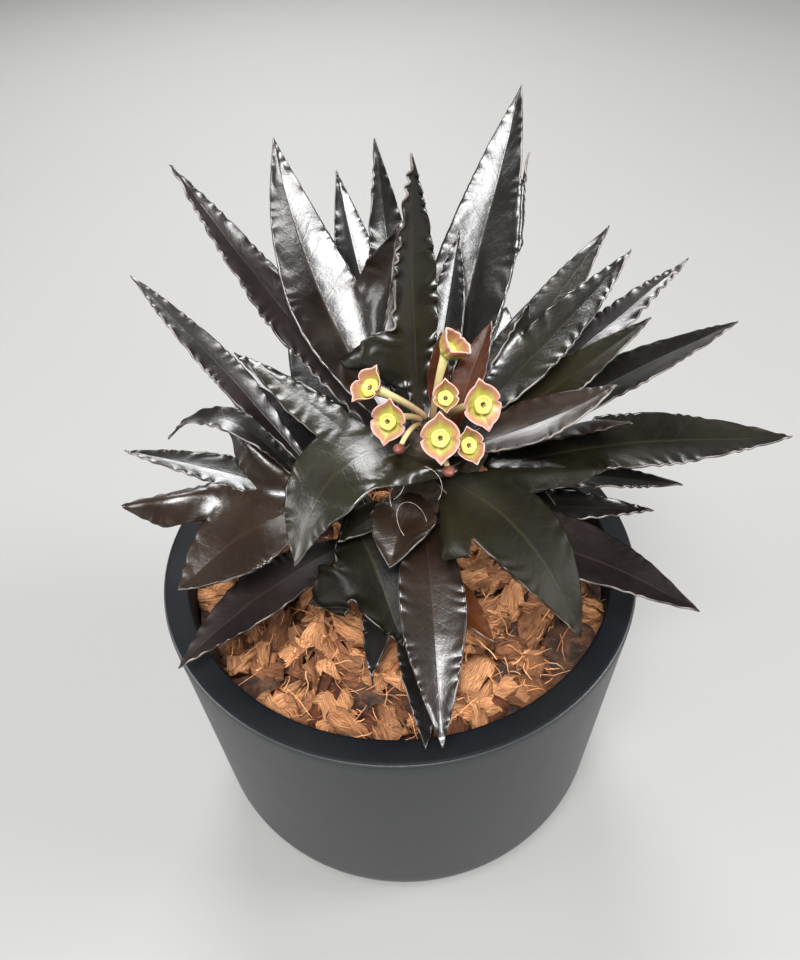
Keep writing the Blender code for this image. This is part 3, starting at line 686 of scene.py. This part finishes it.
def huskMaterial():
    made, tree, shader = newMaterial("huskChip")
    uv = tree.nodes.new("ShaderNodeUVMap").outputs[0]
    here = objectPlace(tree)
    strands = speckle(tree, uv, 9.0, 4.0, 0.65, stretch=(0.35, 5.5, 1.0))
    fine = speckle(tree, uv, 26.0, 3.0, 0.7, stretch=(0.3, 6.0, 1.0))
    crumbs = speckle(tree, here, 420.0, 4.0, 0.65)
    # pale streaks along the grain: partly frayed fibre, partly painted highlight
    frayedAndHighlight = sums(tree, "MULTIPLY", remap(tree, fine, 0.5, 0.8), 0.6)
    colour = mixColour(tree, remap(tree, strands, 0.33, 0.66), huskLook["dark"], huskLook["light"])
    colour = mixColour(tree, frayedAndHighlight, colour, huskLook["frayedAndHighlight"])
    colour = mixColour(tree, remap(tree, crumbs, 0.6, 0.78, 0.0, 0.7), colour, huskLook["crumb"])
    shade = mixColour(tree, attribute(tree, "tint"), huskLook["oldest"], huskLook["newest"])
    colour = mixColour(tree, 1.0, colour, shade, "MULTIPLY")
    tree.links.new(colour, shader.inputs["Base Color"])
    shader.inputs["Roughness"].default_value = 0.82
    shader.inputs["Specular IOR Level"].default_value = 0.25
    height = sums(tree, "MULTIPLY_ADD", fine, 0.5, sums(tree, "MULTIPLY", crumbs, 0.5))
    height = sums(tree, "ADD", strands, height)
    tree.links.new(bump(tree, height, 0.9, 0.0012), shader.inputs["Normal"])
    return made


def bedMaterial():
    # near black with brown crumbs: the near black is painted shade between the chips
    made, tree, shader = newMaterial("bedShade")
    here = objectPlace(tree)
    crumbs = speckle(tree, here, 300.0, 6.0, 0.7)
    colour = mixColour(tree, remap(tree, crumbs, 0.35, 0.7), huskLook["bedShade"], huskLook["bedLight"])
    tree.links.new(colour, shader.inputs["Base Color"])
    shader.inputs["Roughness"].default_value = 0.9
    tree.links.new(bump(tree, crumbs, 1.0, 0.002), shader.inputs["Normal"])
    return made


huskChip = huskMaterial()
bedShade = bedMaterial()


def append(bm, one, matrix=None):
    # copies a small finished shape into a big one
    if matrix:
        bmesh.ops.transform(one, matrix=matrix, verts=one.verts)
    scratch = bpy.data.meshes.new("scratch")
    one.to_mesh(scratch)
    one.free()
    bm.from_mesh(scratch)
    bpy.data.meshes.remove(scratch)


def sweep(one, points, radii, sides):
    # a round stalk: one ring carried along the points, closed at both ends
    heading = (points[1] - points[0]).normalized()
    made = bmesh.ops.create_circle(one, cap_ends=True, segments=sides, radius=radii[0])["verts"]
    standing = Matrix.Translation(points[0]) @ heading.to_track_quat("Z", "Y").to_matrix().to_4x4()
    bmesh.ops.transform(one, matrix=standing, verts=made)
    faces = list(made[0].link_faces)
    for i in range(1, len(points)):
        ahead = (points[min(i + 1, len(points) - 1)] - points[i - 1]).normalized()
        turned = heading.rotation_difference(ahead).to_matrix().to_4x4()
        heading = ahead
        grown = bmesh.ops.extrude_face_region(one, geom=faces)
        if i > 1:
            bmesh.ops.delete(one, geom=faces, context="FACES_ONLY")
        fresh = [g for g in grown["geom"] if isinstance(g, bmesh.types.BMVert)]
        faces = [g for g in grown["geom"] if isinstance(g, bmesh.types.BMFace)]
        grow = Matrix.Scale(radii[i] / radii[i - 1], 4)
        move = Matrix.Translation(points[i]) @ turned @ grow @ Matrix.Translation(-points[i - 1])
        bmesh.ops.transform(one, matrix=move, verts=fresh)
    bmesh.ops.recalc_face_normals(one, faces=one.faces)


def addChip(bm, draw, size, matrix):
    # one torn piece: a box of four-sided faces, pushed out of true, with its grain along X
    one = bmesh.new()
    uvMark = one.loops.layers.uv.new("UVMap")
    tintMark = one.verts.layers.float.new("tint")
    bmesh.ops.create_cube(one, size=1.0)
    bmesh.ops.subdivide_edges(one, edges=one.edges, cuts=2, use_grid_fill=True)
    tint = draw.random()
    shift = Vector((draw.uniform(0, 50), draw.uniform(0, 50), draw.uniform(0, 50)))       # so no two match
    taper = draw.uniform(0.5, 1.0)
    for f in one.faces:
        f.smooth = True
        for loop in f.loops:
            x, y, z = [c * length for c, length in zip(loop.vert.co, size)]
            loop[uvMark].uv = (x / 10 + shift.x, (y + z) / 10 + shift.y)
    for v in one.verts:
        v[tintMark] = tint
        push = noise.noise_vector(v.co * huskLook["tornScale"] + shift) * huskLook["torn"]
        narrow = 1.0 - (1.0 - taper) * (v.co.x + 0.5)
        ends = 1.0 if abs(v.co.x) < 0.3 else 0.75
        v.co = Vector((v.co.x * size[0], v.co.y * size[1] * narrow * ends, v.co.z * size[2] * ends)) + push
    append(bm, one, matrix @ Matrix.Scale(mm, 4))


def addFibre(bm, draw, start, heading, length, thickness):
    # one loose strand, bent as it goes
    one = bmesh.new()
    uvMark = one.loops.layers.uv.new("UVMap")
    tintMark = one.verts.layers.float.new("tint")
    steps = huskLook["fibreSteps"]
    points = [start]
    for _ in range(steps):
        heading = heading + Vector([draw.uniform(-0.4, 0.4) for _ in range(3)])
        heading.normalize()
        points.append(points[-1] + heading * length / steps)
    sweep(one, [p * mm for p in points], [thickness * mm * share for share in huskLook["fibreShape"]], 3)
    tint = draw.uniform(0.6, 1.0)
    for v in one.verts:
        v[tintMark] = tint
    for f in one.faces:
        for loop in f.loops:
            loop[uvMark].uv = (0.0, tint)
    append(bm, one)


def buildHusk():
    draw = random.Random(huskLook["seed"])
    noise.seed_set(huskLook["seed"])       # without it the torn shapes differ from run to run
    bm = bmesh.new()
    bm.loops.layers.uv.new("UVMap")
    bm.verts.layers.float.new("tint")
    edge, lowest = innerRadius(huskLook["edgeHeight"]), huskLook["lowest"]
    for i in range(huskLook["chips"]):
        size = [draw.uniform(*huskLook[key]) for key in ("length", "width", "height")]
        reach = (edge - 0.42 * size[0]) * math.sqrt(draw.uniform(0.03, 1.0))
        turn = draw.uniform(0, math.tau)
        rise = lowest + (huskLook["highest"] - lowest) * i / huskLook["chips"]
        centre = Vector((reach * math.cos(turn), reach * math.sin(turn), plant["potHeight"] + rise))
        tilt = Euler((draw.uniform(-0.7, 0.7), draw.uniform(-0.6, 0.6), draw.uniform(0, math.tau)))
        turned = tilt.to_matrix()
        addChip(bm, draw, size, Matrix.Translation(centre * mm) @ turned.to_4x4())
        if i < huskLook["chips"] / 2:       # only the upper chips have strands that show
            continue
        for _ in range(huskLook["strands"]):
            spot = Vector((draw.uniform(-0.5, 0.3), draw.uniform(-0.5, 0.5), draw.uniform(0.25, 0.5)))
            start = centre + turned @ Vector([a * b for a, b in zip(spot, size)])
            heading = turned @ Vector((1, draw.uniform(-0.35, 0.35), draw.uniform(-0.1, 0.3)))
            addFibre(bm, draw, start, heading.normalized(), draw.uniform(3, 8), draw.uniform(0.08, 0.2))
    for i in range(huskLook["fibres"]):
        reach = (edge - 5) * math.sqrt(draw.uniform(0.05, 1.0))
        turn = draw.uniform(0, math.tau)
        rise = plant["potHeight"] - draw.uniform(7.5, 11)
        start = Vector((reach * math.cos(turn), reach * math.sin(turn), rise))
        heading = Vector((draw.uniform(-1, 1), draw.uniform(-1, 1), draw.uniform(-0.1, 0.5))).normalized()
        addFibre(bm, draw, start, heading, draw.uniform(4, 13), draw.uniform(0.07, 0.16))
    chips = newObject("huskChips", bm, huskChip)
    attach(chips, "root")
    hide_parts(*[f"husk_chip_{i:02d}" for i in range(1, 9)])


def dressNode(name, finish):
    # a CAD node that keeps its own shape
    mesh = frame["nodes"][name].data
    mesh.materials.clear()
    mesh.materials.append(finish)


buildHusk()
# the bed below the chips gets the painted shade finish
dressNode("husk_bed", bedShade)
print("stage: husk chips")


stemLook = {
    "dark": (0.010, 0.006, 0.004, 1), "light": (0.05, 0.03, 0.016, 1), "spot": (0.10, 0.075, 0.045, 1),
}


def barkMaterial():
    made, tree, shader = newMaterial("stemBark")
    here = objectPlace(tree)
    rings = speckle(tree, here, 120.0, 5.0, 0.65, stretch=(1.0, 1.0, 2.6))
    spots = speckle(tree, here, 520.0, 3.0)
    colour = mixColour(tree, remap(tree, rings, 0.35, 0.65), stemLook["dark"], stemLook["light"])
    colour = mixColour(tree, remap(tree, spots, 0.6, 0.75, 0.0, 0.5), colour, stemLook["spot"])
    tree.links.new(colour, shader.inputs["Base Color"])
    shader.inputs["Roughness"].default_value = 0.7
    height = sums(tree, "MULTIPLY_ADD", spots, 0.4, rings)
    tree.links.new(bump(tree, height, 0.8, 0.001), shader.inputs["Normal"])
    return made


dressNode("stem", barkMaterial())
print("stage: stem")


# fine pale threads caught among the leaves below the flowers: the spot, size and turns of each loop
threadLook = {
    "thickness": 0.05, "steps": 26, "seed": 5,
    "loops": (((-95, 17, 40), 6.0, 0.8), ((-70, 18, 38), 7.0, 0.65), ((-112, 14, 41), 5.0, 0.9),
              ((-80, 24, 34), 6.5, 0.55)),
    "dark": (0.16, 0.14, 0.11, 1), "light": (0.45, 0.42, 0.36, 1),
}


def threadMaterial():
    made, tree, shader = newMaterial("threadPale")
    along = speckle(tree, objectPlace(tree), 500.0, 2.0)
    colour = mixColour(tree, remap(tree, along, 0.35, 0.65), threadLook["dark"], threadLook["light"])
    tree.links.new(colour, shader.inputs["Base Color"])
    shader.inputs["Roughness"].default_value = 0.4
    return made


def buildThreads():
    draw = random.Random(threadLook["seed"])
    bm = bmesh.new()
    steps = threadLook["steps"]
    for where, size, turns in threadLook["loops"]:
        tilt = Euler((draw.uniform(0.2, 0.8), draw.uniform(-0.5, 0.5), draw.uniform(0, math.tau)))
        turned = tilt.to_matrix()
        points = []
        for i in range(steps + 1):
            a = math.tau * turns * i / steps
            loose = size * (0.6 + 0.5 * i / steps)
            curl = Vector((math.cos(a) * loose, math.sin(a) * loose, i * 0.08))
            points.append(spotAt(*where) + turned @ curl * mm)
        one = bmesh.new()
        sweep(one, points, [threadLook["thickness"] * mm] * (steps + 1), 4)
        append(bm, one)
    threads = newObject("strayThreads", bm, threadMaterial())
    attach(threads, "root")


buildThreads()
print("stage: stray threads")


flowerLook = {
    "stalk": 0.6, "ring": 3.0, "turn": 40, "segments": 14, "bends": 12, "fatter": 1.4,
    "bractThickness": 0.15,
    "grow": 1.28,       # bracts are this much wider than in the part, and some are wider still
    "grown": {"flower_top": 1.75, "flower_left_upper": 1.7, "flower_back": 1.5, "flower_small": 1.5},
    "close": 0.1,       # how far the bracts close up to a cup
    "closed": {"flower_top": 0.75, "flower_back": 0.5, "flower_small": 0.4, "flower_left_upper": 0.45},
    "glandRing": ((0.0, -0.30), (0.16, -0.24), (0.26, -0.04), (0.36, 0.08), (0.42, 0.17), (0.40, 0.25),
                  (0.33, 0.27), (0.27, 0.22), (0.25, 0.20), (0.21, 0.25), (0.17, 0.26), (0.12, 0.21),
                  (0.08, 0.14), (0.0, 0.12)),
}
# colours at the middle and the margin, and where along the way the second starts to show
petalLook = {
    "stalk": dict(inner=(0.20, 0.13, 0.065), outer=(0.40, 0.34, 0.15), start=0.2, glow=0.2),
    "bract": dict(inner=(0.31, 0.31, 0.055), outer=(0.27, 0.115, 0.075), start=0.46, rim=(0.42, 0.25, 0.22)),
    "gland": dict(inner=(0.42, 0.31, 0.03), outer=(0.50, 0.44, 0.15), start=0.2, glow=0.2),
    "heart": dict(inner=(0.03, 0.02, 0.008), outer=(0.16, 0.11, 0.02), start=0.45),
    "budSkin": dict(inner=(0.05, 0.012, 0.008), outer=(0.13, 0.04, 0.028), start=0.2, glow=0.2),
}


def flower(name, tip, face, radius, bow=2, bracts=True):
    return dict(name=name, tip=tip, face=face, radius=radius, bow=bow, bracts=bracts)


flowerTable = (
    flower("flower_right", (-12, 21, 53), (0.3, -0.8, 0.5), 4.2),
    flower("flower_top", (28, 15, 60), (0.5, -0.3, 0.8), 3.2, bow=3),
    flower("flower_left_upper", (-178, 4.5, 55.5), (-0.5, -0.4, 0.8), 3.2),
    flower("flower_left", (-100, 5.5, 50), (-0.3, -0.8, 0.5), 3.8),
    flower("bud_left", (-84, 12, 47), (-0.2, -0.8, 0.5), 1.4, bow=4, bracts=False),
    flower("flower_front", (-52, 17, 51), (0.0, -0.8, 0.6), 4.0),
    flower("bud_right", (-52, 20, 43), (0.1, -0.8, 0.4), 1.4, bow=3, bracts=False),
    flower("flower_small", (-32, 20, 46), (0.3, -0.7, 0.6), 3.2),
    flower("flower_back", (-20, 13, 55), (0.0, -0.6, 0.8), 3.0),
)


def petalMaterial(name, inner, outer, start, glow=0.1, rim=None):
    made, tree, shader = newMaterial(name)
    veins = speckle(tree, objectPlace(tree), 700.0, 3.0)
    edge = attribute(tree, "margin")
    factor = sums(tree, "MULTIPLY_ADD", sums(tree, "SUBTRACT", veins, 0.5), 0.35, edge)
    colour = mixColour(tree, remap(tree, factor, start, 0.92), (*inner, 1), (*outer, 1))
    if rim:
        colour = mixColour(tree, remap(tree, edge, 0.93, 0.99), colour, (*rim, 1))
    tree.links.new(colour, shader.inputs["Base Color"])
    shader.inputs["Roughness"].default_value = 0.42
    shader.inputs["Subsurface Weight"].default_value = glow
    shader.inputs["Subsurface Radius"].default_value = (1.0, 0.6, 0.3)
    shader.inputs["Subsurface Scale"].default_value = 0.0015
    tree.links.new(bump(tree, veins, 0.3, 0.0003), shader.inputs["Normal"])
    return made


petalFinishes = [petalMaterial(name, **values) for name, values in petalLook.items()]
finishNumber = {name: number for number, name in enumerate(petalLook)}


def turnedDisc(one, profile, steps, radius, lobes=1, depth=0.0):
    # a small turned shape with a wavy rim, its profile in shares of the flower's radius
    turnProfile(one, profile, radius, steps, 0.000001)
    for v in one.verts:
        reach = math.hypot(v.co.x, v.co.y) / radius
        swell = 1 + depth * math.cos(lobes * math.atan2(v.co.y, v.co.x)) * min(1.0, reach * 4)
        v.co.x *= swell
        v.co.y *= swell


def glands(radius):
    # the yellow ring of glands, with a paler inner ring and a dark heart; its foot is stalk
    one = bmesh.new()
    marginMark = one.verts.layers.float.new("margin")
    turnedDisc(one, flowerLook["glandRing"], 30, radius, lobes=5, depth=0.035)
    for f in one.faces:
        middle = f.calc_center_median() / radius
        reach = math.hypot(middle.x, middle.y)
        finish = "heart" if reach < 0.1 else "stalk" if middle.z < 0.1 and reach > 0.1 else "gland"
        f.material_index = finishNumber[finish]
    for v in one.verts:
        v[marginMark] = 0.5
    return one


def saucer(radius, closed):
    # two broad bracts that meet at the sides: a shallow cup with a point at each end of Y
    one = bmesh.new()
    marginMark = one.verts.layers.float.new("margin")
    rings = 9
    profile = [(0.14 + 0.86 * i / rings, 0.0) for i in range(rings + 1)]
    turnedDisc(one, profile, 48, radius)
    for v in one.verts:
        share = math.hypot(v.co.x, v.co.y) / radius
        turn = math.atan2(v.co.y, v.co.x)
        upright = abs(math.sin(turn))
        points = 0.05 * upright ** 12 + 0.27 * upright ** 90
        notches = 0.20 * math.exp(-(upright / 0.09) ** 2)
        reach = 0.95 + points - notches
        wave = 0.05 * math.sin(5 * turn + 1) * share ** 3
        rise = -0.20 + (0.30 + closed) * share ** 2 + 0.22 * upright * share ** 3 - 0.12 * share ** 9 + wave
        spread = share * reach * (1.0 - 0.55 * closed * share)
        v.co = Vector((math.cos(turn) * spread, math.sin(turn) * spread, rise)) * radius
        v[marginMark] = share
    bmesh.ops.recalc_face_normals(one, faces=one.faces)
    bmesh.ops.solidify(one, geom=one.faces[:], thickness=flowerLook["bractThickness"] * mm)
    for f in one.faces:
        f.material_index = finishNumber["bract"]
    return one


def bud(radius):
    # a small oval with a blunt point
    one = bmesh.new()
    marginMark = one.verts.layers.float.new("margin")
    bmesh.ops.create_uvsphere(one, u_segments=20, v_segments=14, radius=radius)
    for v in one.verts:
        share = v.co.z / radius
        swell = 1 + 0.10 * math.cos(2 * math.atan2(v.co.y, v.co.x)) * (1 - abs(share))
        v.co = Vector((v.co.x * swell, v.co.y * swell, v.co.z * (1.25 + 0.45 * max(0.0, share) ** 2)))
        v[marginMark] = 0.5 + 0.5 * share
    for f in one.faces:
        f.material_index = finishNumber["budSkin"]
    return one


def buildFlower(number, plan):
    axis = branchAxis("main")
    a = math.tau * number / len(flowerTable) + math.radians(flowerLook["turn"])
    ring = Vector((math.cos(a), math.sin(a), 0.0))
    ring = (ring - axis * ring.dot(axis)).normalized() * flowerLook["ring"] * mm
    seat = branchPoint("main", 1.0)[0] + ring + axis * plant["gap"] * mm
    foot = seat + axis * flowerLook["stalk"] * 2 * mm
    end = spotAt(*plan["tip"])
    face = Vector(plan["face"]).normalized()
    grown = flowerLook["grown"].get(plan["name"], flowerLook["grow"]) if plan["bracts"] else 1.0
    radius = plan["radius"] * mm * grown
    knee = foot.lerp(end, 0.5) + Vector((0, 0, plan["bow"] * mm)) - face * mm
    shares = [i / flowerLook["bends"] for i in range(flowerLook["bends"] + 1)]
    points = [seat] + [foot * (1 - t) ** 2 + knee * 2 * t * (1 - t) + end * t * t for t in shares]
    thin = flowerLook["stalk"] * mm
    fat = flowerLook["fatter"] if plan["bracts"] else 1.0
    flare = 0.9 * plan["bracts"]
    radii = [thin] + [thin * (fat + flare * t ** 3) for t in shares]
    bm = bmesh.new()
    bm.verts.layers.float.new("margin")
    stalk = bmesh.new()
    marginMark = stalk.verts.layers.float.new("margin")
    sweep(stalk, points, radii, flowerLook["segments"])
    for v in stalk.verts:
        v[marginMark] = min(1.0, (v.co - seat).length / (end - seat).length)
    append(bm, stalk)
    facing = Matrix.Translation(end) @ face.to_track_quat("Z", "Y").to_matrix().to_4x4()
    if plan["bracts"]:
        append(bm, glands(radius), facing)
        append(bm, saucer(radius, flowerLook["closed"].get(plan["name"], flowerLook["close"])), facing)
    else:
        append(bm, bud(radius), facing)
    for f in bm.faces:
        f.smooth = True
    made = newObject(plan["name"] + "_bloom", bm, *petalFinishes)
    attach(made, "root")
    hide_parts(plan["name"])


for number, plan in enumerate(flowerTable):
    buildFlower(number, plan)
print("stage: flowers")


studio = {
    "floor": (0.185, 0.184, 0.180), "floorSize": 9.0, "floorPlace": (0, 1.5, -0.0002),
    "skyColour": (0.96, 0.98, 1.0, 1), "sky": 0.17, "aim": (0, 0, 0.1),
    "lights": {          # power in watts, place and size in metres
        "key": (17.0, (1.02, -0.12, 0.66), 0.50), "front": (54.0, (-0.10, -0.68, 1.34), 0.75),
        "left": (11.0, (-1.10, -0.15, 0.50), 0.70), "back": (22.0, (-0.12, 1.05, 0.90), 0.65),
    },
    "eye": (0.0011, -0.1509, 0.2581), "pitch": 46.95, "roll": -2.29, "lens": 30.04,
}


def floorMaterial():
    made, tree, shader = newMaterial("floorPlain")
    cloud = speckle(tree, objectPlace(tree), 3.0, 3.0)
    low, high = [c * 0.96 for c in studio["floor"]], [c * 1.03 for c in studio["floor"]]
    tree.links.new(mixColour(tree, cloud, (*low, 1), (*high, 1)), shader.inputs["Base Color"])
    shader.inputs["Roughness"].default_value = 0.75
    return made


def buildFloor():
    bm = bmesh.new()
    bmesh.ops.create_grid(bm, x_segments=4, y_segments=4, size=studio["floorSize"])
    bmesh.ops.translate(bm, vec=studio["floorPlace"], verts=bm.verts)
    newObject("studioFloor", bm, floorMaterial())


def areaLight(name, power, spot, size):
    data = bpy.data.lights.new(name, "AREA")
    data.shape = "DISK"
    data.size = size
    data.energy = power
    made = bpy.data.objects.new(name, data)
    made.location = spot
    made.rotation_euler = (Vector(studio["aim"]) - Vector(spot)).to_track_quat("-Z", "Y").to_euler()
    bpy.context.scene.collection.objects.link(made)


def buildSky():
    world = bpy.data.worlds.new("studio")
    world.use_nodes = True
    background = world.node_tree.nodes["Background"]
    background.inputs["Color"].default_value = studio["skyColour"]
    background.inputs["Strength"].default_value = studio["sky"]
    bpy.context.scene.world = world


def buildCamera():
    data = bpy.data.cameras.new("view")
    data.sensor_width = 36.0
    data.lens = studio["lens"]
    data.clip_start = 0.01
    made = bpy.data.objects.new("view", data)
    pitch = Matrix.Rotation(math.radians(studio["pitch"]), 4, "X")
    roll = Matrix.Rotation(math.radians(studio["roll"]), 4, "Z")
    made.matrix_world = Matrix.Translation(studio["eye"]) @ pitch @ roll
    bpy.context.scene.collection.objects.link(made)
    bpy.context.scene.camera = made


buildFloor()
for name, (power, spot, size) in studio["lights"].items():
    areaLight(name, power, spot, size)
buildSky()
buildCamera()
bpy.context.scene.view_settings.view_transform = "Standard"
print("stage: floor, lights and camera")
